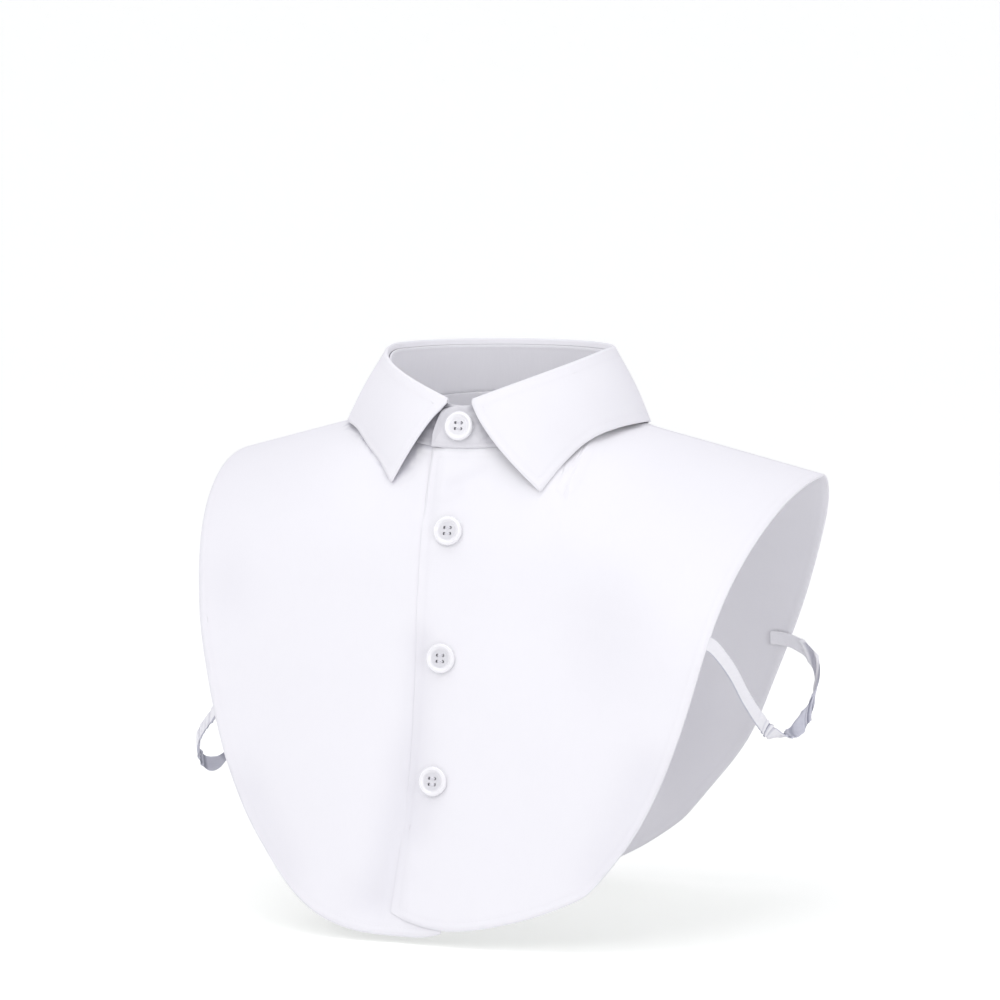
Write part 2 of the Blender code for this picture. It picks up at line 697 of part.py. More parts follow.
def smooth_line(points, count):
    """Points at even lengths along a smooth line through the given ones."""
    rows = [{"length": 0.0, "point": points[0]}]
    for before, now in zip(points, points[1:]):
        rows.append({"length": rows[-1]["length"] + (now - before).length, "point": now})
    whole = rows[-1]["length"]
    return [read_rows(rows, "length", "point", whole * i / count) for i in range(count + 1)]


def strap_frames(strap, hand):
    """Middle, and direction across, at each station of a strap.

    The direction is carried along without twist, and the turn that the back tab still needs,
    with the strap's half turns, is shared out along the loop.
    """
    middles, front_down, back_down = strap_route(strap, hand)
    line = smooth_line(middles, STRAP_STATIONS)
    tangents = []
    for i in range(len(line)):
        tangents.append((line[min(i + 1, len(line) - 1)] - line[max(i - 1, 0)]).normalized())
    carried = [front_down]
    for before, now in zip(tangents, tangents[1:]):
        carried.append(before.rotation_difference(now) @ carried[-1])
    across = [(way - tangent * way.dot(tangent)).normalized() for way, tangent in zip(carried, tangents)]
    wanted = (back_down - tangents[-1] * back_down.dot(tangents[-1])).normalized()
    turn = math.atan2(across[-1].cross(wanted).dot(tangents[-1]), across[-1].dot(wanted))
    turn += math.pi * strap["half_turns"]
    frames = []
    for i, middle in enumerate(line):
        share = ease((i / STRAP_STATIONS - STRAP_TWIST_START) / (STRAP_TWIST_END - STRAP_TWIST_START))
        frames.append((middle, Matrix.Rotation(turn * share, 3, tangents[i]) @ across[i]))
    return frames


def make_strap(name, strap, hand):
    """A flat elastic strap that hangs in a loop at one side."""
    frames = strap_frames(strap, hand)

    def place(i, j):
        middle, across = frames[i]
        return middle + across * STRAP_WIDTH * (j / 2 - 0.5)

    ribbon = cotton_grid(name, STRAP_STATIONS, 2, place, STRAP_THICKNESS, ELASTIC)
    ribbon.modifiers["wall"].offset = 0.0


def build():
    """Build every sub-part."""
    clear_scene()
    make_fronts()
    make_back()
    make_stand()
    make_leaf()
    make_buttons()
    make_strap("strap_left", LEFT_STRAP, 1)
    make_strap("strap_right", RIGHT_STRAP, -1)


build()
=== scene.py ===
"""Looks of a detachable shirt collar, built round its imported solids.

Metres, +Z up. The wearer faces -Y and the wearer's left is +X. Each cloth piece is a finer copy
of its own solid with soft creases and hems, and the sewing is added to it.
"""
import logging
import math
from collections.abc import Callable
from dataclasses import dataclass
from enum import Enum

import bmesh
import bpy
from mathutils import Matrix, Vector, kdtree
from mathutils.bvhtree import BVHTree


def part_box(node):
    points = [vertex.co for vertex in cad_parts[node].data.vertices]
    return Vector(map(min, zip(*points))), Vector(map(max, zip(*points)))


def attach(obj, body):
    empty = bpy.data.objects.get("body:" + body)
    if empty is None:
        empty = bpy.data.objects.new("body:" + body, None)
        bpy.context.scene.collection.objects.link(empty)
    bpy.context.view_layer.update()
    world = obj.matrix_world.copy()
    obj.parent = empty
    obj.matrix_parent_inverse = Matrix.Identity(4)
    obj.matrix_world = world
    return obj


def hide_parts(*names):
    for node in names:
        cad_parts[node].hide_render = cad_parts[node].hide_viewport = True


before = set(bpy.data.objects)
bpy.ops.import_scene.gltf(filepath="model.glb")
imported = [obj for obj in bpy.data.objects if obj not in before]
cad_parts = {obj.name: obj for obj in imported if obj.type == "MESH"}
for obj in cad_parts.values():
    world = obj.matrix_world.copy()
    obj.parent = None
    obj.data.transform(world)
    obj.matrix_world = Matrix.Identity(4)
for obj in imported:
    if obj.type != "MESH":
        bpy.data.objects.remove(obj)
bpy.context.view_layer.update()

LOG = logging.getLogger("collar")
GAP_LAYER = "edge_gap"
RUN_LAYER = "edge_run"
CLOTH_UV = "cloth"
# Vertex attribute of painted shade: a darker tone in crease troughs, tucks, the stand's outer side under the
# fall and the tape's folds.
PAINTED_SHADE_LAYER = "fold"


class Facing(Enum):
    """Which way a piece of cloth faces."""

    FRONT = -1
    BACK = 1
    ROUND_NECK = 0


# Shared measures

MERGE_DISTANCE = 1e-6
JOIN_FACE_ANGLE = math.radians(50.0)
JOIN_SHAPE_ANGLE = math.radians(60.0)
RIM_ANGLE = math.radians(40.0)
RIM_CREASE = 0.85
RIM_STEP = 0.001
CHEST_LEVEL = -0.080
SHOULDER_BAND = 0.060
NECK_RADIUS = 0.066
NECK_AXIS_ROOM = 1e-5
# Trough depth at which the painted shade of a crease is full.
FULL_SHADE_DEPTH = 0.0040
ROLL_MIDDLE = 0.0632
ROLL_SHARE = 0.45
EDGE_X = -0.004
EDGE_WIDTH = 0.010
EDGE_DRIFT = 0.035
EDGE_HEIGHT = 0.004
EDGE_OUTER_GAP = 0.0005
EDGE_INNER_GAP = 0.0002
EDGE_OUTER_NORMAL_Y = -0.2
SEAM_REACH = 0.0016
SEAM_SHARE = 0.5


def ease(value: float) -> float:
    """Smooth step from 0 to 1.

    Args:
        value: Where to read it; outside 0 to 1 it stays flat.

    Returns:
        The eased value.
    """
    value = min(1.0, max(0.0, value))
    return value * value * (3.0 - 2.0 * value)


# Shader groups that several finishes share


class NodeSheet:
    """A node tree that is being filled in, with short ways to add and join its nodes."""

    def __init__(self, tree: bpy.types.NodeTree) -> None:
        """Take hold of a tree.

        Args:
            tree: The material's or the group's tree.
        """
        self.tree = tree

    def add(self, kind: str, **settings: object) -> bpy.types.Node:
        """Add a node.

        Args:
            kind: The node's type name.
            settings: Properties to set on it.

        Returns:
            The new node.
        """
        node = self.tree.nodes.new(kind)
        for name, value in settings.items():
            setattr(node, name, value)
        return node

    def join(self, source: bpy.types.NodeSocket, target: bpy.types.NodeSocket) -> None:
        """Link two sockets."""
        self.tree.links.new(source, target)

    def math(self, operation: str, *values: object) -> bpy.types.NodeSocket:
        """Add a math node.

        Args:
            operation: The operation's name.
            values: Numbers or sockets for its inputs.

        Returns:
            Its output socket.
        """
        node = self.add("ShaderNodeMath", operation=operation)
        for i, value in enumerate(values):
            if isinstance(value, bpy.types.NodeSocket):
                self.join(value, node.inputs[i])
            else:
                node.inputs[i].default_value = value
        return node.outputs[0]

    def noise(self, vector: bpy.types.NodeSocket, scale: float, detail: float) -> bpy.types.NodeSocket:
        """Add a noise texture.

        Args:
            vector: The coordinates it reads.
            scale: Its scale, per metre.
            detail: Its detail.

        Returns:
            Its value socket.
        """
        node = self.add("ShaderNodeTexNoise")
        node.inputs["Scale"].default_value = scale
        node.inputs["Detail"].default_value = detail
        self.join(vector, node.inputs["Vector"])
        return node.outputs[0]

    def blend(self, share: bpy.types.NodeSocket, low: tuple, high: tuple) -> bpy.types.NodeSocket:
        """Mix two colours by a share.

        Args:
            share: The socket that gives the share.
            low: Colour at 0.
            high: Colour at 1.

        Returns:
            The colour socket.
        """
        node = self.add("ShaderNodeMix", data_type="RGBA")
        self.join(share, node.inputs[0])
        node.inputs[6].default_value = (*low, 1.0)
        node.inputs[7].default_value = (*high, 1.0)
        return node.outputs[2]


@dataclass(frozen=True)
class EffectSizes:
    """Sizes inside the shader groups."""

    slub_stretch: tuple[float, float, float] = (9.0, 1.0, 1.0)
    slub_scale: float = 90.0
    slub_detail: float = 3.0
    stitch_share: float = 0.72
    pucker_widths: float = 5.0
    handling_scale: float = 22.0
    handling_detail: float = 2.0
    shade_scale: float = 7.0
    shade_detail: float = 1.0


class SharedEffects:
    """The shader groups, each built once."""

    def __init__(self) -> None:
        """Build the groups."""
        self.sizes = EffectSizes()
        self.weave = self._weave()
        self.stitches = self._stitches()
        self.handling = self._handling()

    def _group(self, name: str, inputs: dict[str, str], outputs: dict[str, str]) -> NodeSheet:
        """Start a group.

        Args:
            name: Its name.
            inputs: Input names and socket types.
            outputs: Output names and socket types.

        Returns:
            The group's sheet, with its own input and output nodes.
        """
        tree = bpy.data.node_groups.new(name, "ShaderNodeTree")
        for title, kind in inputs.items():
            tree.interface.new_socket(name=title, in_out="INPUT", socket_type=kind)
        for title, kind in outputs.items():
            tree.interface.new_socket(name=title, in_out="OUTPUT", socket_type=kind)
        sheet = NodeSheet(tree)
        sheet.source = sheet.add("NodeGroupInput")
        sheet.target = sheet.add("NodeGroupOutput")
        return sheet

    def _weave(self) -> bpy.types.NodeTree:
        """Plain weave: height of crossing threads, and how uneven the yarn is.

        Returns:
            The group.
        """
        sheet = self._group(
            "plain_weave",
            {"Vector": "NodeSocketVector", "Across": "NodeSocketFloat", "Along": "NodeSocketFloat"},
            {"Height": "NodeSocketFloat", "Slub": "NodeSocketFloat"},
        )
        place = sheet.add("ShaderNodeSeparateXYZ")
        sheet.join(sheet.source.outputs["Vector"], place.inputs[0])
        source = sheet.source.outputs
        across = sheet.math("SINE", sheet.math("MULTIPLY", place.outputs[0], source["Across"]))
        along = sheet.math("SINE", sheet.math("MULTIPLY", place.outputs[1], source["Along"]))
        height = sheet.math("MULTIPLY_ADD", sheet.math("MULTIPLY", across, along), 0.5, 0.5)
        stretch = sheet.add("ShaderNodeMapping")
        stretch.inputs["Scale"].default_value = self.sizes.slub_stretch
        sheet.join(source["Vector"], stretch.inputs["Vector"])
        sheet.join(height, sheet.target.inputs["Height"])
        slub = sheet.noise(stretch.outputs[0], self.sizes.slub_scale, self.sizes.slub_detail)
        sheet.join(slub, sheet.target.inputs["Slub"])
        return sheet.tree

    def _stitches(self) -> bpy.types.NodeTree:
        """Row of stitches that follows an edge at a distance.

        Returns:
            The group.
        """
        sheet = self._group(
            "edge_stitches",
            {title: "NodeSocketFloat" for title in ("Gap", "Run", "Distance", "Pitch", "Half Width")},
            {"Thread": "NodeSocketFloat", "Pucker": "NodeSocketFloat"},
        )
        source = sheet.source.outputs
        away = sheet.math("ABSOLUTE", sheet.math("SUBTRACT", source["Gap"], source["Distance"]))
        row = sheet.math("SUBTRACT", 1.0, sheet.math("DIVIDE", away, source["Half Width"]))
        row = sheet.math("MAXIMUM", row, 0.0)
        beat = sheet.math("FRACT", sheet.math("DIVIDE", source["Run"], source["Pitch"]))
        dash = sheet.math("LESS_THAN", beat, self.sizes.stitch_share)
        pucker_width = sheet.math("MULTIPLY", source["Half Width"], self.sizes.pucker_widths)
        wide = sheet.math("DIVIDE", away, pucker_width)
        pucker = sheet.math("MAXIMUM", sheet.math("SUBTRACT", 1.0, wide), 0.0)
        sheet.join(sheet.math("MULTIPLY", row, dash), sheet.target.inputs["Thread"])
        sheet.join(pucker, sheet.target.inputs["Pucker"])
        return sheet.tree

    def _handling(self) -> bpy.types.NodeTree:
        """Soft unevenness of pressed cloth.

        Returns:
            The group.
        """
        sheet = self._group(
            "pressed_cloth",
            {"Vector": "NodeSocketVector"},
            {"Height": "NodeSocketFloat", "Shade": "NodeSocketFloat"},
        )
        vector = sheet.source.outputs["Vector"]
        height = sheet.noise(vector, self.sizes.handling_scale, self.sizes.handling_detail)
        shade = sheet.noise(vector, self.sizes.shade_scale, self.sizes.shade_detail)
        sheet.join(height, sheet.target.inputs["Height"])
        sheet.join(shade, sheet.target.inputs["Shade"])
        return sheet.tree


# Finishes


@dataclass(frozen=True)
class ClothFinish:
    """White cotton, plain woven, with its stitches, and painted shade in its folds and beside its stitches.
    """

    name: str
    light: tuple[float, float, float] = (0.885, 0.882, 0.898)
    shade: tuple[float, float, float] = (0.700, 0.695, 0.735)
    roughness: float = 0.82
    sheen: float = 0.12
    # Strength of the painted shade read from the fold attribute.
    painted_shade_tone: float = 0.50
    pressed_tone: float = 0.12
    slub_tone: float = 0.06
    # Strength of the painted shade in the pucker beside a row of stitches.
    pucker_painted_shade: float = 0.03
    threads_per_metre: float = 2600.0
    weave_depth: float = 0.00004
    pressed_depth: float = 0.0005
    pucker_depth: float = 0.00005
    stitch_height: float = 0.00008
    stitch_distance: float = 0.005
    stitch_pitch: float = 0.0026
    stitch_half_width: float = 0.00035

    def material(self, effects: SharedEffects) -> bpy.types.Material:
        """Make the material.

        Args:
            effects: The shared shader groups.

        Returns:
            The material.
        """
        material = bpy.data.materials.new(self.name)
        material.use_nodes = True
        sheet = NodeSheet(material.node_tree)
        shader = material.node_tree.nodes["Principled BSDF"]
        shader.inputs["Roughness"].default_value = self.roughness
        shader.inputs["Sheen Weight"].default_value = self.sheen
        uv = sheet.add("ShaderNodeUVMap", uv_map=CLOTH_UV)
        place = sheet.add("ShaderNodeTexCoord")
        weave = sheet.add("ShaderNodeGroup", node_tree=effects.weave)
        sheet.join(uv.outputs[0], weave.inputs["Vector"])
        weave.inputs["Across"].default_value = self.threads_per_metre * math.pi
        weave.inputs["Along"].default_value = self.threads_per_metre * math.pi
        stitches = sheet.add("ShaderNodeGroup", node_tree=effects.stitches)
        for title, layer in (("Gap", GAP_LAYER), ("Run", RUN_LAYER)):
            reader = sheet.add("ShaderNodeAttribute", attribute_name=layer)
            sheet.join(reader.outputs["Fac"], stitches.inputs[title])
        stitches.inputs["Distance"].default_value = self.stitch_distance
        stitches.inputs["Pitch"].default_value = self.stitch_pitch
        stitches.inputs["Half Width"].default_value = self.stitch_half_width
        pressed = sheet.add("ShaderNodeGroup", node_tree=effects.handling)
        sheet.join(place.outputs["Object"], pressed.inputs["Vector"])
        tone = sheet.math("MULTIPLY", pressed.outputs["Shade"], self.pressed_tone)
        tone = sheet.math("MULTIPLY_ADD", weave.outputs["Slub"], self.slub_tone, tone)
        # Painted shade along the pucker beside each stitch row.
        tone = sheet.math("MULTIPLY_ADD", stitches.outputs["Pucker"], self.pucker_painted_shade, tone)
        # Painted shade from the fold attribute: crease troughs, tucks and the outer side under the fall.
        fold = sheet.add("ShaderNodeAttribute", attribute_name=PAINTED_SHADE_LAYER)
        tone = sheet.math("MULTIPLY_ADD", fold.outputs["Fac"], self.painted_shade_tone, tone)
        sheet.join(sheet.blend(tone, self.light, self.shade), shader.inputs["Base Color"])
        height = sheet.math("MULTIPLY", weave.outputs["Height"], self.weave_depth)
        height = sheet.math("MULTIPLY_ADD", pressed.outputs["Height"], self.pressed_depth, height)
        height = sheet.math("MULTIPLY_ADD", stitches.outputs["Pucker"], -self.pucker_depth, height)
        height = sheet.math("MULTIPLY_ADD", stitches.outputs["Thread"], self.stitch_height, height)
        bump = sheet.add("ShaderNodeBump")
        bump.inputs["Distance"].default_value = 1.0
        sheet.join(height, bump.inputs["Height"])
        sheet.join(bump.outputs[0], shader.inputs["Normal"])
        return material


@dataclass(frozen=True)
class ElasticFinish:
    """White knitted elastic tape with fine ribs along it, and painted shade in its folds."""

    name: str
    light: tuple[float, float, float] = (0.96, 0.96, 0.97)
    shade: tuple[float, float, float] = (0.62, 0.62, 0.68)
    roughness: float = 0.60
    sheen: float = 0.15
    slub_tone: float = 0.2
    base_tone: float = -0.05
    rib_pitch: float = 0.0011
    rib_depth: float = 0.00010

    def material(self, effects: SharedEffects) -> bpy.types.Material:
        """Make the material.

        Args:
            effects: The shared shader groups.

        Returns:
            The material.
        """
        material = bpy.data.materials.new(self.name)
        material.use_nodes = True
        sheet = NodeSheet(material.node_tree)
        shader = material.node_tree.nodes["Principled BSDF"]
        shader.inputs["Roughness"].default_value = self.roughness
        shader.inputs["Sheen Weight"].default_value = self.sheen
        uv = sheet.add("ShaderNodeUVMap", uv_map=CLOTH_UV)
        weave = sheet.add("ShaderNodeGroup", node_tree=effects.weave)
        sheet.join(uv.outputs[0], weave.inputs["Vector"])
        weave.inputs["Across"].default_value = 2 * math.pi / self.rib_pitch
        weave.inputs["Along"].default_value = 2 * math.pi / self.rib_pitch
        # Painted shade in the troughs of the tape's folds, read from the fold attribute.
        fold = sheet.add("ShaderNodeAttribute", attribute_name=PAINTED_SHADE_LAYER)
        tone = sheet.math("MULTIPLY_ADD", weave.outputs["Slub"], self.slub_tone, self.base_tone)
        tone = sheet.math("ADD", tone, fold.outputs["Fac"])
        sheet.join(sheet.blend(tone, self.light, self.shade), shader.inputs["Base Color"])
        bump = sheet.add("ShaderNodeBump")
        bump.inputs["Distance"].default_value = 1.0
        sheet.join(sheet.math("MULTIPLY", weave.outputs["Height"], self.rib_depth), bump.inputs["Height"])
        sheet.join(bump.outputs[0], shader.inputs["Normal"])
        return material


@dataclass(frozen=True)
class ResinFinish:
    """Polished white button resin, slightly cloudy, with painted shade in its dished face."""

    name: str
    middle: tuple[float, float, float]
    light: tuple[float, float, float] = (0.93, 0.93, 0.935)
    shade: tuple[float, float, float] = (0.68, 0.68, 0.70)
    roughness: float = 0.22
    dish_radius: float = 0.0058
    dish_edge: float = 0.0012
    dish_painted_shade: float = 0.75
    cloud_tone: float = 0.25
    cloud_scale: float = 160.0
    cloud_detail: float = 2.0
    coat: float = 0.3

    def material(self, effects: SharedEffects) -> bpy.types.Material:
        """Make the material: bright on the rim, with painted shade in the dish.

        Args:
            effects: The shared shader groups; not used.

        Returns:
            The material.
        """
        material = bpy.data.materials.new(self.name)
        material.use_nodes = True
        sheet = NodeSheet(material.node_tree)
        shader = material.node_tree.nodes["Principled BSDF"]
        shader.inputs["Roughness"].default_value = self.roughness
        shader.inputs["Coat Weight"].default_value = self.coat
        place = sheet.add("ShaderNodeTexCoord")
        centred = sheet.add("ShaderNodeMapping")
        centred.inputs["Location"].default_value = tuple(-value for value in self.middle)
        sheet.join(place.outputs["Object"], centred.inputs["Vector"])
        away = sheet.add("ShaderNodeVectorMath", operation="LENGTH")
        sheet.join(centred.outputs[0], away.inputs[0])
        # Painted shade, darker towards the middle of the dished face.
        inside = sheet.math("SUBTRACT", self.dish_radius, away.outputs["Value"])
        inside = sheet.math("DIVIDE", inside, self.dish_edge)
        inside = sheet.math("MINIMUM", sheet.math("MAXIMUM", inside, 0.0), 1.0)
        cloud = sheet.noise(place.outputs["Object"], self.cloud_scale, self.cloud_detail)
        cloudy = sheet.math("MULTIPLY", cloud, self.cloud_tone)
        tone = sheet.math("MULTIPLY_ADD", inside, self.dish_painted_shade, cloudy)
        sheet.join(sheet.blend(tone, self.light, self.shade), shader.inputs["Base Color"])
        return material


@dataclass(frozen=True)
class ThreadFinish:
    """White sewing thread."""

    name: str
    light: tuple[float, float, float] = (0.88, 0.88, 0.90)
    shade: tuple[float, float, float] = (0.66, 0.66, 0.70)
    roughness: float = 0.55
    fibre_scale: float = 2200.0
    fibre_detail: float = 2.0

    def material(self, effects: SharedEffects) -> bpy.types.Material:
        """Make the material.

        Args:
            effects: The shared shader groups; not used.

        Returns:
            The material.
        """
        material = bpy.data.materials.new(self.name)
        material.use_nodes = True
        sheet = NodeSheet(material.node_tree)
        shader = material.node_tree.nodes["Principled BSDF"]
        shader.inputs["Roughness"].default_value = self.roughness
        place = sheet.add("ShaderNodeTexCoord")
        fibre = sheet.noise(place.outputs["Object"], self.fibre_scale, self.fibre_detail)
        sheet.join(sheet.blend(fibre, self.light, self.shade), shader.inputs["Base Color"])
        return material


@dataclass(frozen=True)
class FloorFinish:
    """Plain pale studio floor."""

    name: str
    light: tuple[float, float, float] = (0.90, 0.90, 0.90)
    glow_tint: tuple[float, float, float] = (0.95, 1.00, 0.85)
    roughness: float = 0.9
    glow: float = 0.30

    def material(self) -> bpy.types.Material:
        """Make the material.

        Returns:
            The material.
        """
        material = bpy.data.materials.new(self.name)
        material.use_nodes = True
        shader = material.node_tree.nodes["Principled BSDF"]
        shader.inputs["Base Color"].default_value = (*self.light, 1.0)
        shader.inputs["Roughness"].default_value = self.roughness
        shader.inputs["Emission Color"].default_value = (*self.glow_tint, 1.0)
        sheet = NodeSheet(material.node_tree)
        seen = sheet.add("ShaderNodeLightPath").outputs["Is Camera Ray"]
        sheet.join(sheet.math("MULTIPLY", seen, self.glow), shader.inputs["Emission Strength"])
        return material


# Cloth pieces


@dataclass(frozen=True)
class Crease:
    """A soft trough or ridge that runs between two places of a panel, seen from its own side."""

    start: tuple[float, float]
    end: tuple[float, float]
    depth: float
    half_width: float

    def height(self, x: float, z: float) -> float:
        """Rise of the cloth at a place.

        Args:
            x: Place across the panel.
            z: Height of the place.

        Returns:
            The rise, negative in a trough.
        """
        ax, az = self.start
        bx, bz = self.end
        length = math.hypot(bx - ax, bz - az)
        along = ((x - ax) * (bx - ax) + (z - az) * (bz - az)) / length
        across = ((x - ax) * (bz - az) - (z - az) * (bx - ax)) / length
        inside = ease((along + self.half_width) / (2 * self.half_width))
        inside *= ease((length + self.half_width - along) / (2 * self.half_width))
        return -self.depth * inside * math.exp(-((across / self.half_width) ** 2))


@dataclass(frozen=True)
class Outline:
    """Places along the cut edge of a panel, to measure the hem and the stitches from."""

    tree: kdtree.KDTree
    runs: tuple[float, ...]

    def read(self, point: Vector) -> tuple[float, float]:
        """Distance to the edge and the place along it.

        Args:
            point: A point of the panel.

        Returns:
            The distance and the run.
        """
        _, index, distance = self.tree.find(point)
        return distance, self.runs[index]


@dataclass(frozen=True)
class Smoothing:
    """An upright band of a panel that is pressed smooth, away from its cut edge."""

    middle: float
    half_width: float
    top: float
    foot: float
    edge_room: float = 0.010
    fade_share: float = 0.6
    blur: float = 0.010
    blur_reach: float = 2.5
    samples: int = 6
    reach: float = 0.020

    def share(self, point: Vector, gap: float) -> float:
        """How much a point of the panel takes part.

        Args:
            point: The point.
            gap: Its distance to the cut edge.

        Returns:
            The share, from 0 to 1.
        """
        aside = ease((self.half_width - abs(point.x - self.middle)) / (self.half_width * self.fade_share))
        low = ease((point.z - self.foot) / self.half_width)
        high = ease((self.top - point.z) / self.half_width)
        return aside * low * high * ease(gap / self.edge_room)

    def press(self, work: bmesh.types.BMesh, outline: Outline,
              outward: Callable[[Vector], Vector]) -> None:
        """Press the band smooth, across its width.

        Args:
            work: The panel.
            outline: Its cut edge.
            outward: Gives the way out of the panel at a point.
        """
        tree = BVHTree.FromBMesh(work)
        moves = []
        for vert in work.verts:
            share = self.share(vert.co, outline.read(vert.co)[0])
            if share <= 0.0:
                continue
            way = outward(vert.co)
            own = self._height(tree, vert.co, 0.0, way)
            total = weights = 0.0
            for i in range(-self.samples, self.samples + 1):
                step = self.blur_reach * i / self.samples
                weight = math.exp(-0.5 * step ** 2)
                total += weight * self._height(tree, vert.co, step * self.blur, way)
                weights += weight
            moves.append((vert, way * (total / weights - own) * share))
        for vert, move in moves:
            vert.co += move

    def _height(self, tree: BVHTree, point: Vector, aside: float, way: Vector) -> float:
        """Height of the panel's outer side over a place beside a point.

        Args:
            tree: The panel.
            point: The point.
            aside: How far beside it.
            way: The way out of the panel.

        Returns:
            The height, or 0 where there is no cloth.
        """
        start = point + Vector((aside, 0.0, 0.0)) + way * self.reach
        place = tree.ray_cast(start, -way, 2 * self.reach)[0]
        return 0.0 if place is None else (place - point).dot(way)


@dataclass(frozen=True)
class TuckShade:
    """Painted shade: a deeper tone where a piece is tucked in between others and little light reaches."""

    nodes: tuple[str, ...]
    tone: float
    reach: float = 0.009
    start: float = 0.0004
    turns: tuple[float, ...] = (-75.0, -50.0, -25.0, 0.0, 25.0, 50.0, 75.0)
    full_share: float = 0.75
    least_facing: float = 0.5

    def trees(self) -> list[BVHTree]:
        """Search trees of the pieces that lie round it.

        Returns:
            One tree for each piece.
        """
        found = []
        for node in self.nodes:
            work = merged_copy(node)
            found.append(BVHTree.FromBMesh(work))
            work.free()
        return found

    def read(self, trees: list[BVHTree], point: Vector, normal: Vector) -> float:
        """Painted shade at a point.

        Args:
            trees: Search trees of the pieces round it.
            point: The point.
            normal: The cloth's normal there.

        Returns:
            The painted shade to add.
        """
        hits = 0
        for turn in self.turns:
            way = Matrix.Rotation(math.radians(turn), 3, "Z") @ normal
            origin = point + normal * self.start
            hits += any(tree.ray_cast(origin, way, self.reach)[0] is not None for tree in trees)
        return self.tone * ease(hits / len(self.turns) / self.full_share)


@dataclass
class ClothPiece:
    """A finer copy of one cloth solid, with creases, a hem and its weave laid on it."""

    node: str
    facing: Facing
    flat: tuple[float, float]
    area: float
    held: str
    rests_on: tuple[str, ...]
    finish: ClothFinish
    creases: tuple[Crease, ...] = ()
    hem_width: float = 0.006
    hem_rise: float = 0.00008
    hem_slope: float = 0.35
    levels: int = 2
    seamed_to: tuple[str, ...] = ()
    smoothing: tuple[Smoothing, ...] = ()
    laid_on: str = ""
    # Strength of the painted shade on the side that faces out, under the fall.
    outer_shade: float = 0.0
    rolled: bool = False
    # Painted shade where the piece tucks in between others.
    tuck: TuckShade | None = None

    def build(self, effects: SharedEffects) -> bpy.types.Object:
        """Args:
            effects: The shared shader groups.

        Returns:
            The finished piece.
        """
        shell = merged_copy(self.node)
        outline = read_outline(shell)
        work = refine(shell, self.levels)
        for band in self.smoothing:
            band.press(work, outline, self.outward)
        if self.laid_on:
            press_front_edge(work, self.laid_on)
        if self.rolled:
            press_roll(work)
        self._shape(work, outline)
        self._lay_cloth(work, outline)
        for node in self.seamed_to:
            close_seam(work, node)
        piece = finished_piece(self.node + "_cloth", work, self.finish.material(effects))
        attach(piece, "root")
        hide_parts(self.node)
        LOG.info("%s: %d faces", piece.name, len(piece.data.polygons))
        return piece

    def outward(self, point: Vector) -> Vector:
        """Way in which creases rise at a point.

        Args:
            point: The point.

        Returns:
            The way, of length 1.
        """
        if self.facing is Facing.ROUND_NECK:
            return Vector((point.x, point.y, 0.0)).normalized()
        turn = ease((point.z - CHEST_LEVEL) / SHOULDER_BAND) * math.pi / 2
        return Vector((0.0, self.facing.value * math.cos(turn), math.sin(turn)))

    def _shape(self, work: bmesh.types.BMesh, outline: Outline) -> None:
        """Raise the hem, press in the creases and write the painted shade of the crease troughs, the tucks
        and the outer side.

        Args:
            work: The refined piece.
            outline: Its cut edge.
        """
        work.normal_update()
        painted_shade_layer = work.verts.layers.float.new(PAINTED_SHADE_LAYER)
        trees = self.tuck.trees() if self.tuck else []
        moves = []
        for vert in work.verts:
            gap, _ = outline.read(vert.co)
            hem = self.hem_rise * ease((self.hem_width - gap) / (self.hem_width * self.hem_slope))
            rise = sum(crease.height(vert.co.x, vert.co.z) for crease in self.creases)
            outward = self.outward(vert.co)
            # Painted shade on the outer side, which lies under the fall.
            under = self.outer_shade * ease(2.0 * vert.normal.dot(outward))
            # Painted shade in crease troughs, deeper with their depth.
            vert[painted_shade_layer] = under + min(1.0, max(0.0, -rise / FULL_SHADE_DEPTH))
            # Painted shade where the piece is tucked in between others.
            if self.tuck and vert.normal.dot(outward) > self.tuck.least_facing:
                vert[painted_shade_layer] += self.tuck.read(trees, vert.co, vert.normal)
            moves.append(vert.normal * hem + outward * rise)
        for vert, move in zip(work.verts, moves):
            vert.co += move

    def _lay_cloth(self, work: bmesh.types.BMesh, outline: Outline) -> None:
        """Write the edge distances and the cloth's own UV map.

        Args:
            work: The refined piece.
            outline: Its cut edge.
        """
        gap_layer = work.verts.layers.float.new(GAP_LAYER)
        run_layer = work.verts.layers.float.new(RUN_LAYER)
        for vert in work.verts:
            vert[gap_layer], vert[run_layer] = outline.read(vert.co)
        uv = work.loops.layers.uv.new(CLOTH_UV)
        for face in work.faces:
            for loop in face.loops:
                loop[uv].uv = self._cloth_place(loop.vert.co)

    def _cloth_place(self, point: Vector) -> tuple[float, float]:
        """Place on the flat cloth of a point of the piece.

        Args:
            point: The point.

        Returns:
            Its two coordinates on the cloth.
        """
        if self.facing is Facing.ROUND_NECK:
            return NECK_RADIUS * math.atan2(point.x, abs(point.y) + NECK_AXIS_ROOM), point.z
        return point.x, self.facing.value * point.y - point.z


def merged_copy(node: str) -> bmesh.types.BMesh:
    """Closed copy of a solid, with its triangles joined in pairs.

    Args:
        node: The solid's name.

    Returns:
        The copy, as a bmesh.
    """
    work = bmesh.new()
    work.from_mesh(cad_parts[node].data)
    bmesh.ops.remove_doubles(work, verts=work.verts, dist=MERGE_DISTANCE)
    bmesh.ops.join_triangles(work, faces=work.faces, angle_face_threshold=JOIN_FACE_ANGLE,
                             angle_shape_threshold=JOIN_SHAPE_ANGLE)
    work.normal_update()
    return work


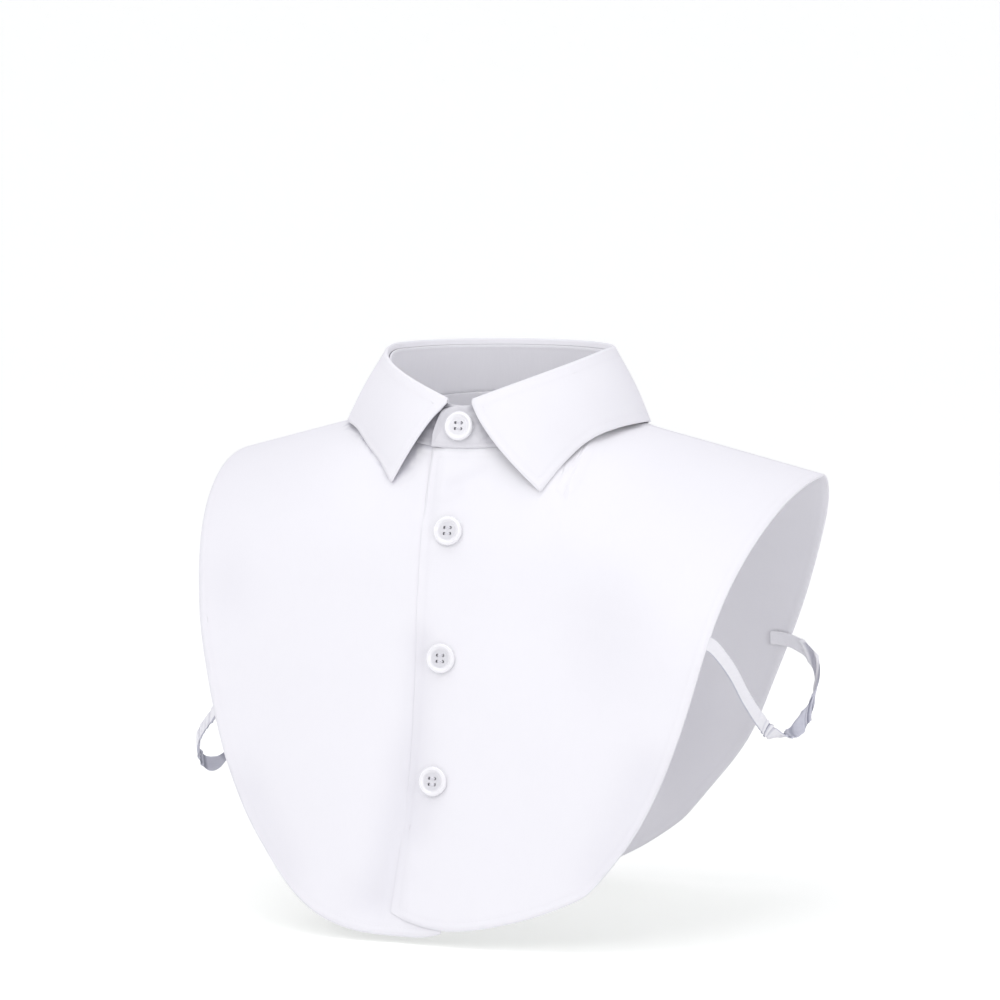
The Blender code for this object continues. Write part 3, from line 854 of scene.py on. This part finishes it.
def press_roll(work: bmesh.types.BMesh) -> None:
    """Press the fold line of the collar flat from inside.

    Args:
        work: The fall of the collar.
    """
    for vert in work.verts:
        radius = math.hypot(vert.co.x, vert.co.y)
        inward = ROLL_MIDDLE - radius
        if inward > 0.0:
            now = (ROLL_MIDDLE - inward * ROLL_SHARE) / radius
            vert.co.x *= now
            vert.co.y *= now


def press_front_edge(work: bmesh.types.BMesh, node: str) -> None:
    """Press the front edge of the over panel flat on the panel below it.

    Args:
        work: The over panel.
        node: The solid of the panel below.
    """
    other = merged_copy(node)
    tree = BVHTree.FromBMesh(other)
    other.free()
    work.normal_update()
    for vert in work.verts:
        place, _, _, gap = tree.find_nearest(vert.co, EDGE_HEIGHT)
        if place is None:
            continue
        share = ease((EDGE_X - vert.co.x + EDGE_DRIFT * min(0.0, vert.co.z - CHEST_LEVEL)) / EDGE_WIDTH)
        least = EDGE_OUTER_GAP if vert.normal.y < EDGE_OUTER_NORMAL_Y else EDGE_INNER_GAP
        if gap > least:
            vert.co = vert.co.lerp(place, share * (gap - least) / gap)


def close_seam(work: bmesh.types.BMesh, node: str) -> None:
    """Draw the edge of a piece up to the piece it is sewn to.

    Args:
        work: The piece.
        node: The solid of the piece it is sewn to.
    """
    other = merged_copy(node)
    tree = BVHTree.FromBMesh(other)
    other.free()
    for vert in work.verts:
        place, _, _, gap = tree.find_nearest(vert.co, SEAM_REACH)
        if place is not None and gap < SEAM_REACH:
            vert.co = vert.co.lerp(place, SEAM_SHARE * ease(2.0 - 2.0 * gap / SEAM_REACH))


def rim_edges(work: bmesh.types.BMesh) -> set[bmesh.types.BMEdge]:
    """Edges at which a shell turns sharply, round its rim."""
    return {edge for edge in work.edges if edge.calc_face_angle(0.0) > RIM_ANGLE}


def widest_side(work: bmesh.types.BMesh, rim: set[bmesh.types.BMEdge]) -> set[bmesh.types.BMFace]:
    """Faces of the larger side of a shell.

    Args:
        work: The shell.
        rim: Its sharp edges.

    Returns:
        The faces.
    """
    left = set(work.faces)
    best: set[bmesh.types.BMFace] = set()
    best_area = 0.0
    while left:
        patch = set()
        queue = [left.pop()]
        while queue:
            face = queue.pop()
            patch.add(face)
            for edge in face.edges:
                if edge in rim:
                    continue
                for other in edge.link_faces:
                    if other in left:
                        left.remove(other)
                        queue.append(other)
        area = sum(face.calc_area() for face in patch)
        if area > best_area:
            best, best_area = patch, area
    return best


def read_outline(work: bmesh.types.BMesh) -> Outline:
    """Walk the cut edge of a shell.

    Args:
        work: The shell.

    Returns:
        Its outline.
    """
    rim = rim_edges(work)
    side = widest_side(work, rim)
    border = {edge for edge in rim if sum(face in side for face in edge.link_faces) == 1}
    places: list[tuple[Vector, float]] = []
    run = 0.0
    while border:
        edge = min(border, key=lambda item: item.index)
        border.remove(edge)
        here, there = edge.verts
        while edge is not None:
            length = (there.co - here.co).length
            steps = max(1, round(length / RIM_STEP))
            for i in range(steps):
                places.append((here.co.lerp(there.co, i / steps), run + length * i / steps))
            run += length
            here = there
            edge = next((item for item in here.link_edges if item in border), None)
            if edge is not None:
                border.remove(edge)
                there = edge.other_vert(here)
    tree = kdtree.KDTree(len(places))
    for i, (point, _) in enumerate(places):
        tree.insert(point, i)
    tree.balance()
    return Outline(tree, tuple(place for _, place in places))


def refine(work: bmesh.types.BMesh, levels: int) -> bmesh.types.BMesh:
    """Smooth, finer copy of a shell that keeps its rim.

    Args:
        work: The shell, which is used up.
        levels: How many times its faces are divided.

    Returns:
        The finer shell.
    """
    sharp = work.edges.layers.float.new("crease_edge")
    for edge in rim_edges(work):
        edge[sharp] = RIM_CREASE
    mesh = bpy.data.meshes.new("draft")
    work.to_mesh(mesh)
    work.free()
    draft = bpy.data.objects.new("draft", mesh)
    bpy.context.scene.collection.objects.link(draft)
    divide = draft.modifiers.new("finer", "SUBSURF")
    divide.levels = levels
    divide.render_levels = levels
    finer = bmesh.new()
    finer.from_object(draft, bpy.context.evaluated_depsgraph_get())
    bpy.data.objects.remove(draft)
    bpy.data.meshes.remove(mesh)
    return finer


def finished_piece(name: str, work: bmesh.types.BMesh, material: bpy.types.Material) -> bpy.types.Object:
    """Object made from a finished bmesh, at the origin.

    Args:
        name: The piece's name.
        work: The bmesh, which is used up.
        material: The piece's finish.

    Returns:
        The object.
    """
    mesh = bpy.data.meshes.new(name)
    work.to_mesh(mesh)
    work.free()
    mesh.materials.append(material)
    mesh.shade_smooth()
    piece = bpy.data.objects.new(name, mesh)
    bpy.context.scene.collection.objects.link(piece)
    return piece


@dataclass
class BibFronts:
    """The two front panels, the wearer's left one over the right one."""

    flat: tuple[float, float] = (0.200, 0.300)
    area: float = 0.0455

    def build(self, effects: SharedEffects) -> None:
        """Build both panels.

        Args:
            effects: The shared shader groups.
        """
        shared = (
            Crease((-0.013, -0.118), (-0.014, -0.175), 0.0022, 0.009),
            Crease((-0.014, -0.175), (-0.032, -0.272), 0.0028, 0.011),
        )
        left_creases = shared + (
            Crease((-0.005, -0.041), (0.018, -0.029), 0.0012, 0.0035),
            Crease((-0.008, -0.051), (0.006, -0.043), 0.0008, 0.004),
            Crease((-0.011, -0.032), (-0.012, -0.060), 0.0008, 0.004),
            Crease((-0.008, -0.205), (-0.010, -0.232), 0.0014, 0.009),
            Crease((0.090, -0.085), (0.092, -0.150), 0.0012, 0.024),
            Crease((0.122, -0.180), (0.090, -0.256), 0.0022, 0.016),
            Crease((0.040, -0.130), (0.034, -0.170), -0.0012, 0.022),
            Crease((0.148, -0.090), (0.146, -0.140), -0.0006, 0.012),
        )
        right_creases = shared + (
            Crease((-0.140, -0.085), (-0.128, -0.118), 0.0014, 0.020),
            Crease((-0.118, -0.200), (-0.084, -0.264), 0.0018, 0.016),
            Crease((-0.040, -0.255), (-0.046, -0.275), 0.0010, 0.012),
            Crease((-0.080, -0.120), (-0.074, -0.220), -0.0008, 0.024),
        )
        ClothPiece("front_left", Facing.FRONT, self.flat, self.area, "hung", ("collar_stand_cloth",),
                   ClothFinish("front_left_cotton"), left_creases, seamed_to=("back_panel", "collar_stand"),
                   smoothing=(Smoothing(0.065, 0.036, 0.012, -0.130),),
                   laid_on="front_right").build(effects)
        # The right panel gets painted shade where it tucks under the fall and the stand.
        ClothPiece("front_right", Facing.FRONT, self.flat, self.area, "hung", ("collar_stand_cloth",),
                   ClothFinish("front_right_cotton"), right_creases, seamed_to=("back_panel", "collar_stand"),
                   smoothing=(Smoothing(-0.065, 0.036, 0.012, -0.130),),
                   tuck=TuckShade(("collar_leaf", "collar_stand"), tone=2.4)).build(effects)


@dataclass
class BibBack:
    """The back panel."""

    flat: tuple[float, float] = (0.350, 0.325)
    area: float = 0.0780

    def build(self, effects: SharedEffects) -> None:
        """Build the panel.

        Args:
            effects: The shared shader groups.
        """
        creases = (
            Crease((0.030, -0.040), (0.055, -0.120), 0.0010, 0.016),
            Crease((-0.034, -0.045), (-0.050, -0.130), 0.0009, 0.018),
            Crease((0.095, -0.150), (0.070, -0.230), 0.0014, 0.018),
            Crease((-0.100, -0.140), (-0.082, -0.225), 0.0012, 0.016),
            Crease((0.000, -0.180), (0.006, -0.275), -0.0010, 0.024),
        )
        smoothing = (Smoothing(0.065, 0.036, 0.012, -0.130), Smoothing(-0.065, 0.036, 0.012, -0.130))
        ClothPiece("back_panel", Facing.BACK, self.flat, self.area, "hung", ("collar_stand_cloth",),
                   ClothFinish("back_cotton"), creases, smoothing=smoothing,
                   seamed_to=("front_left", "front_right", "collar_stand")).build(effects)


@dataclass
class Collar:
    """The stand and the fall."""

    stand_flat: tuple[float, float] = (0.445, 0.033)
    stand_area: float = 0.0124
    leaf_flat: tuple[float, float] = (0.470, 0.075)
    leaf_area: float = 0.0215

    def build(self, effects: SharedEffects) -> None:
        """Build both pieces.

        Args:
            effects: The shared shader groups.
        """
        # The stand's deep shade colour is for painted shade: its outer side under the fall, and the tucked
        # gap beside its lapped end.
        stand = ClothFinish("stand_cotton", shade=(0.300, 0.295, 0.335), painted_shade_tone=0.156,
                            stitch_distance=0.0022, pressed_depth=0.0002)
        leaf = ClothFinish("fall_cotton", stitch_distance=0.0050, pressed_depth=0.0003)
        ClothPiece("collar_stand", Facing.ROUND_NECK, self.stand_flat, self.stand_area, "folded",
                   ("front_left_cloth", "front_right_cloth", "back_panel_cloth"), stand,
                   hem_rise=0.0, outer_shade=1.05, tuck=TuckShade(("collar_stand", "collar_leaf"), tone=4.2),
                   seamed_to=("collar_leaf", "back_panel", "front_right", "front_left")).build(effects)
        ClothPiece("collar_leaf", Facing.ROUND_NECK, self.leaf_flat, self.leaf_area, "folded",
                   ("collar_stand_cloth",), leaf, hem_rise=0.00006, rolled=True,
                   seamed_to=("collar_stand",)).build(effects)


# Straps


@dataclass(frozen=True)
class GatherZone:
    """A stretch of tape that lies in folds, by shares of its length from the back end."""

    start: float
    end: float
    depth: float
    pitch: float
    end_share: float = 0.3
    second_wave: float = 0.6
    second_rate: float = 1.73
    second_phase: float = 0.8
    sharpness: float = 0.7

    def rise(self, share: float, length: float, slant: float) -> float:
        """Rise of the tape's folds at a place.

        Args:
            share: Share of the tape's length.
            length: The length itself.
            slant: Shift of the folds across the tape.

        Returns:
            The rise.
        """
        room = (self.end - self.start) * self.end_share
        inside = ease((share - self.start) / room) * ease((self.end - share) / room)
        phase = math.pi * (length + slant) / self.pitch
        second = self.second_wave * math.sin(self.second_rate * phase + self.second_phase)
        wave = abs(math.sin(phase) + second) / (1.0 + self.second_wave)
        return self.depth * inside * (1.0 - 2.0 * wave ** self.sharpness)


@dataclass
class SideStrap:
    """An elastic tape, a finer copy of its solid with the folds of slack tape, painted shade in their troughs
    and painted shade on the side that faces the body.
    """

    node: str
    gathers: tuple[GatherZone, ...]
    # Share of the tape's length, from the back end, where the painted shade of the body side starts.
    painted_shade_side_from: float
    slant: float = 0.5
    full_shade_depth: float = 0.0005
    levels: int = 3
    end_corners: int = 4
    # Painted shade colours for the side of the tape that faces the body.
    painted_shade_side_colour: tuple[float, float, float] = (0.68, 0.69, 0.76)
    painted_shade_side_fold_colour: tuple[float, float, float] = (0.26, 0.27, 0.34)

    def build(self, effects: SharedEffects) -> None:
        """Build the strap.

        Args:
            effects: The shared shader groups.
        """
        shell = merged_copy(self.node)
        seeds = self._back_end(shell)
        self._mark_painted_shade_side(shell, self._lengths(shell, seeds))
        work = refine(shell, self.levels)
        lengths = self._lengths(work, seeds)
        whole = max(lengths)
        work.normal_update()
        painted_shade_layer = work.verts.layers.float.new(PAINTED_SHADE_LAYER)
        for vert in work.verts:
            length = lengths[vert.index]
            rise = sum(zone.rise(length / whole, length, self.slant * vert.co.z) for zone in self.gathers)
            # Painted shade in the troughs of the folds.
            vert[painted_shade_layer] = max(0.0, -rise / self.full_shade_depth)
            vert.co += vert.normal * rise
        self._lay_tape(work, lengths)
        # The side that faces the body gets a copy of the finish in painted shade.
        outer = ElasticFinish(self.node + "_elastic")
        painted_shade_side_finish = ElasticFinish(self.node + "_elastic_painted_shade_side", self.painted_shade_side_colour, self.painted_shade_side_fold_colour)
        piece = finished_piece(self.node + "_tape", work, outer.material(effects))
        piece.data.materials.append(painted_shade_side_finish.material(effects))
        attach(piece, "root")
        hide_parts(self.node)
        LOG.info("%s: %d faces", piece.name, len(piece.data.polygons))

    def _mark_painted_shade_side(self, work: bmesh.types.BMesh, lengths: list[float]) -> None:
        """Give the side of the tape that lies to the body a darker finish of painted shade, past its tab.

        Args:
            work: The strap.
            lengths: Length of tape from its back end, by vertex.
        """
        tab = self.painted_shade_side_from * max(lengths)
        one_side = widest_side(work, rim_edges(work))
        front = min(one_side, key=lambda face: face.calc_center_median().y)
        faces_body = front.normal.y > 0.0
        for face in work.faces:
            past_tab = min(lengths[vert.index] for vert in face.verts) > tab
            if (face in one_side) == faces_body and past_tab:
                face.material_index = 1

    def _back_end(self, work: bmesh.types.BMesh) -> list[Vector]:
        """Corners of the strap's end on the back panel."""
        from_back = sorted(work.verts, key=lambda vert: -vert.co.y)
        return [vert.co.copy() for vert in from_back[:self.end_corners]]

    def _lengths(self, work: bmesh.types.BMesh, seeds: list[Vector]) -> list[float]:
        """Length of tape from its back end to each vertex.

        Args:
            work: The strap.
            seeds: Points of its back end.

        Returns:
            The lengths, by vertex.
        """
        work.verts.ensure_lookup_table()
        work.verts.index_update()
        lengths = [math.inf] * len(work.verts)
        queue = []
        for seed in seeds:
            first = min(work.verts, key=lambda vert: (vert.co - seed).length)
            lengths[first.index] = 0.0
            queue.append(first)
        while queue:
            later = []
            for vert in queue:
                for edge in vert.link_edges:
                    other = edge.other_vert(vert)
                    reach = lengths[vert.index] + edge.calc_length()
                    if reach < lengths[other.index] - MERGE_DISTANCE:
                        lengths[other.index] = reach
                        later.append(other)
            queue = later
        return lengths

    def _lay_tape(self, work: bmesh.types.BMesh, lengths: list[float]) -> None:
        """Write the tape's own UV map: across it and along it.

        Args:
            work: The strap.
            lengths: Length of tape from its back end, by vertex.
        """
        uv = work.loops.layers.uv.new(CLOTH_UV)
        for face in work.faces:
            for loop in face.loops:
                loop[uv].uv = (loop.vert.co.z, lengths[loop.vert.index])


# Buttons


@dataclass
class ShirtButton:
    """The sewing of one button: its thread and its buttonhole. The button itself is the solid."""

    node: str
    upright_hole: bool
    thread_radius: float = 0.00028
    hole_reach: float = 0.00163
    thread_lift: float = 0.00014
    hole_half_length: float = 0.0085
    hole_half_width: float = 0.0012
    hole_height: float = 0.00022
    hole_room: float = 0.00002
    hole_taper: float = 0.8
    hole_segments: int = 24
    thread_segments: int = 8
    thread_cuts: int = 5
    thread_bend: int = 4
    thread_sink: float = 3.0
    face_facing: float = 0.99

    def build(self, effects: SharedEffects) -> None:
        """Dress the button and sew it on.

        Args:
            effects: The shared shader groups.
        """
        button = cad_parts[self.node]
        lowest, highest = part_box(self.node)
        middle = tuple((lowest + highest) / 2)
        button.data.materials.clear()
        button.data.materials.append(ResinFinish(self.node + "_resin", middle).material(effects))
        seat, face_height = self._seat(button)
        self._thread(effects, seat, face_height)
        self._buttonhole(effects, seat)

    def _seat(self, button: bpy.types.Object) -> tuple[Matrix, float]:
        """Place of the middle of the button's back, facing out along +Z.

        Args:
            button: The button's solid.

        Returns:
            The place, and the height of the dished face over it.
        """
        work = bmesh.new()
        work.from_mesh(button.data)
        bmesh.ops.remove_doubles(work, verts=work.verts, dist=MERGE_DISTANCE)
        work.normal_update()
        back = max(work.faces, key=lambda face: face.calc_area() * (face.normal.y > 0))
        outward = -back.normal
        low = min(vert.co.dot(outward) for vert in work.verts)
        facing = [face for face in work.faces if face.normal.dot(outward) > self.face_facing]
        broad = max(facing, key=lambda face: face.calc_area())
        height = broad.calc_center_median().dot(outward) - low
        lowest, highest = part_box(self.node)
        middle = (lowest + highest) / 2
        middle -= outward * (middle.dot(outward) - low)
        work.free()
        across = Vector((0.0, 0.0, 1.0)).cross(outward).normalized()
        upward = outward.cross(across)
        turn = Matrix((across, upward, outward)).transposed().to_4x4()
        return Matrix.Translation(middle) @ turn, height

    def _thread(self, effects: SharedEffects, seat: Matrix, face_height: float) -> None:
        """Two strands of thread over the face, from hole to hole.

        Args:
            effects: The shared shader groups.
            seat: The button's place.
            face_height: Height of the dished face.
        """
        work = bmesh.new()
        for hand in (-1, 1):
            for lane in (-0.5, 0.5):
                turn = Matrix.Rotation(math.pi / 2, 4, "Y")
                place = Matrix.Translation((
                    0.0,
                    hand * self.hole_reach + lane * self.thread_radius * 2,
                    face_height + self.thread_lift,
                ))
                bmesh.ops.create_cone(work, cap_ends=True, segments=self.thread_segments,
                                      radius1=self.thread_radius, radius2=self.thread_radius,
                                      depth=self.hole_reach * 2, matrix=place @ turn)
        long_edges = [edge for edge in work.edges if edge.calc_length() > self.hole_reach]
        bmesh.ops.subdivide_edges(work, edges=long_edges, cuts=self.thread_cuts)
        for vert in work.verts:
            sink = (abs(vert.co.x) / self.hole_reach) ** self.thread_bend
            vert.co.z -= sink * self.thread_radius * self.thread_sink
        bmesh.ops.transform(work, matrix=seat, verts=work.verts)
        piece = finished_piece(self.node + "_thread", work,
                               ThreadFinish(self.node + "_sewing").material(effects))
        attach(piece, "root")

    def _buttonhole(self, effects: SharedEffects, seat: Matrix) -> None:
        """Worked edge of the buttonhole, just under the button.

        Args:
            effects: The shared shader groups.
            seat: The button's place.
        """
        work = bmesh.new()
        bmesh.ops.create_cone(work, cap_ends=True, segments=self.hole_segments,
                              radius1=self.hole_half_width,
                              radius2=self.hole_half_width * self.hole_taper, depth=self.hole_height)
        for vert in work.verts:
            vert.co.x += math.copysign(self.hole_half_length - self.hole_half_width, vert.co.x)
        if self.upright_hole:
            quarter = Matrix.Rotation(math.pi / 2, 3, "Z")
            bmesh.ops.rotate(work, verts=work.verts, cent=(0, 0, 0), matrix=quarter)
        bmesh.ops.translate(work, verts=work.verts, vec=(0, 0, -self.hole_height / 2 - self.hole_room))
        bmesh.ops.transform(work, matrix=seat, verts=work.verts)
        piece = finished_piece(self.node + "_buttonhole", work,
                               ThreadFinish(self.node + "_satin").material(effects))
        piece.data.set_sharp_from_angle(angle=RIM_ANGLE)
        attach(piece, "root")


# Studio


@dataclass
class Studio:
    """Floor, light and camera."""

    floor_z: float = -0.2850
    floor_flat: float = 2.6
    floor_reach: float = 5.5
    wall_steps: int = 8
    floor_steps: int = 64
    azimuth: float = 20.0
    elevation: float = 6.0
    distance: float = 2.4
    target: tuple[float, float, float] = (0.0, 0.0, -0.0556)
    lens: float = 155.52
    sensor: float = 36.0
    sky_colour: tuple[float, float, float] = (0.966, 0.955, 1.028)
    sky_strength: float = 0.770

    def build(self) -> None:
        """Build the studio."""
        self._floor()
        self._sky()
        self._lamp("key", (-0.55, -2.45, 1.6), 1.3, 13.5, (1.0, 1.0, 0.975))
        self._lamp("top", (-0.35, -0.6, 2.4), 1.6, 13.5, (1.0, 1.0, 1.0))
        self._lamp("side", (2.0, -1.7, 0.2), 1.2, 12.0, (1.0, 1.0, 1.0))
        self._camera()

    def _floor(self) -> None:
        """Round floor that curves up into a pale wall."""
        work = bmesh.new()
        bend = self.floor_reach - self.floor_flat
        profile = [work.verts.new((reach, 0.0, self.floor_z)) for reach in (0.0, self.floor_flat)]
        for i in range(1, self.wall_steps + 1):
            angle = math.pi / 2 * i / self.wall_steps
            profile.append(work.verts.new((self.floor_flat + bend * math.sin(angle), 0.0,
                                           self.floor_z + bend * (1 - math.cos(angle)))))
        edges = [work.edges.new(pair) for pair in zip(profile, profile[1:])]
        bmesh.ops.spin(work, geom=profile + edges, axis=(0, 0, 1), cent=(0, 0, 0), dvec=(0, 0, 0),
                       angle=2 * math.pi, steps=self.floor_steps, use_merge=True)
        bmesh.ops.remove_doubles(work, verts=work.verts, dist=MERGE_DISTANCE)
        bmesh.ops.recalc_face_normals(work, faces=work.faces)
        floor = finished_piece("floor", work, FloorFinish("floor_paper").material())

    def _sky(self) -> None:
        """Even pale light from all round."""
        world = bpy.data.worlds.new("studio_light")
        world.use_nodes = True
        background = world.node_tree.nodes["Background"]
        background.inputs["Color"].default_value = (*self.sky_colour, 1.0)
        background.inputs["Strength"].default_value = self.sky_strength
        bpy.context.scene.world = world

    def _lamp(self, name: str, place: tuple[float, float, float], size: float, power: float,
              tint: tuple[float, float, float]) -> None:
        """Hang a soft lamp that looks at the collar.

        Args:
            name: Its name.
            place: Where it hangs.
            size: Its width.
            power: Its power in watts.
            tint: Its colour.
        """
        light = bpy.data.lights.new(name, "AREA")
        light.energy = power
        light.size = size
        light.color = tint
        lamp = bpy.data.objects.new(name, light)
        lamp.location = place
        lamp.rotation_euler = (Vector(self.target) - Vector(place)).to_track_quat("-Z", "Y").to_euler()
        bpy.context.scene.collection.objects.link(lamp)

    def _camera(self) -> None:
        """Camera at the photograph's viewing angle."""
        azimuth, elevation = math.radians(self.azimuth), math.radians(self.elevation)
        level = math.cos(elevation)
        away = Vector((math.sin(azimuth) * level, -math.cos(azimuth) * level, math.sin(elevation)))
        data = bpy.data.cameras.new("photo_view")
        data.lens = self.lens
        data.sensor_width = self.sensor
        camera = bpy.data.objects.new("photo_view", data)
        camera.location = Vector(self.target) + away * self.distance
        camera.rotation_euler = (-away).to_track_quat("-Z", "Y").to_euler()
        bpy.context.scene.collection.objects.link(camera)
        bpy.context.scene.camera = camera
        bpy.context.scene.view_settings.view_transform = "Standard"


def main() -> None:
    """Build every piece in order."""
    logging.basicConfig(level=logging.INFO, format="%(message)s")
    effects = SharedEffects()
    BibFronts().build(effects)
    BibBack().build(effects)
    Collar().build(effects)
    SideStrap("strap_left", (
        GatherZone(0.03, 0.24, 0.0008, 0.0120),
        GatherZone(0.20, 0.42, 0.0008, 0.0085),
        GatherZone(0.40, 0.58, 0.0006, 0.0110),
    ), painted_shade_side_from=0.16).build(effects)
    SideStrap("strap_right", (
        GatherZone(0.04, 0.36, 0.0006, 0.0110),
        GatherZone(0.34, 0.62, 0.0007, 0.0130),
        GatherZone(0.58, 0.88, 0.0007, 0.0100),
    ), painted_shade_side_from=0.05).build(effects)
    for node in ("button_1", "button_2", "button_3", "button_4"):
        ShirtButton(node, upright_hole=node != "button_1").build(effects)
    Studio().build()


if __name__ == "__main__":
    main()
